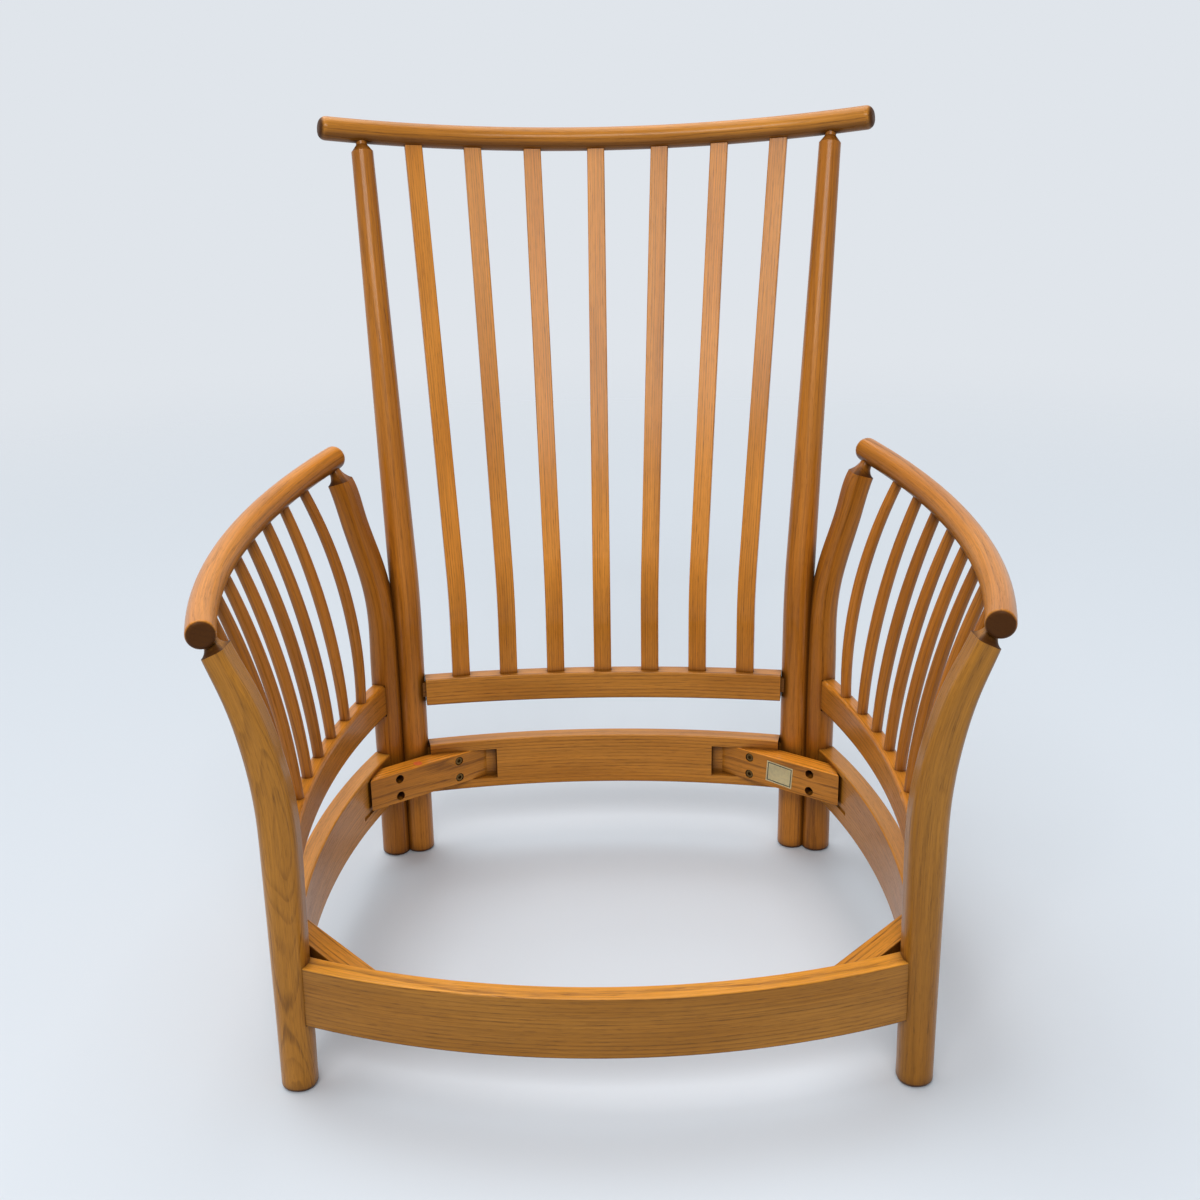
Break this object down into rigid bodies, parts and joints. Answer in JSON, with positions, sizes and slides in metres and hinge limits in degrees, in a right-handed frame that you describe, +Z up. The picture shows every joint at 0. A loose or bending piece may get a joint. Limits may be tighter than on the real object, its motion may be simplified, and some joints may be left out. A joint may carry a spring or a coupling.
{
  "type": "easy chair frame",
  "caption": "High-backed wooden easy chair frame with bent crest rail, raked slat back, bowed arms on spindles and bowed seat rails, without cushions.",
  "frame": {"origin": "on the floor, under the middle of the chair's bounding box", "axes": "+X to the viewer's right, +Y to the rear of the chair, +Z up"},
  "size_m": [0.871, 0.897, 0.997],
  "materials": {
    "crest_wood": "satin",
    "stile_wood": "satin",
    "slat_wood": "satin",
    "rail_wood": "satin",
    "leg_wood": "satin",
    "arm_wood": "satin",
    "spindle_wood": "satin",
    "block_wood": "satin",
    "bolt_steel": "satin"
  },
  "bodies": {
    "root": {"crest_rail": "crest_wood", "back_stile_left": "stile_wood", "back_stile_right": "stile_wood", "back_slat_1": "slat_wood", "back_slat_2": "slat_wood", "back_slat_3": "slat_wood", "back_slat_4": "slat_wood", "back_slat_5": "slat_wood", "back_slat_6": "slat_wood", "back_slat_7": "slat_wood", "lower_back_rail": "rail_wood", "rear_seat_rail": "rail_wood", "front_seat_rail": "rail_wood", "side_seat_rail_left": "rail_wood", "side_seat_rail_right": "rail_wood", "spindle_rail_left": "rail_wood", "spindle_rail_right": "rail_wood", "front_leg_left": "leg_wood", "front_leg_right": "leg_wood", "rear_arm_leg_left": "leg_wood", "rear_arm_leg_right": "leg_wood", "arm_left": "arm_wood", "arm_right": "arm_wood", "arm_spindle_left_1": "spindle_wood", "arm_spindle_left_2": "spindle_wood", "arm_spindle_left_3": "spindle_wood", "arm_spindle_left_4": "spindle_wood", "arm_spindle_left_5": "spindle_wood", "arm_spindle_left_6": "spindle_wood", "arm_spindle_left_7": "spindle_wood", "arm_spindle_left_8": "spindle_wood", "arm_spindle_right_1": "spindle_wood", "arm_spindle_right_2": "spindle_wood", "arm_spindle_right_3": "spindle_wood", "arm_spindle_right_4": "spindle_wood", "arm_spindle_right_5": "spindle_wood", "arm_spindle_right_6": "spindle_wood", "arm_spindle_right_7": "spindle_wood", "arm_spindle_right_8": "spindle_wood", "rear_corner_block_left": "block_wood", "rear_corner_block_right": "block_wood", "front_corner_block_left": "block_wood", "front_corner_block_right": "block_wood", "rear_block_bolts_left": "bolt_steel", "rear_block_bolts_right": "bolt_steel", "front_block_bolts_left": "bolt_steel", "front_block_bolts_right": "bolt_steel"}
  },
  "joints": []
}
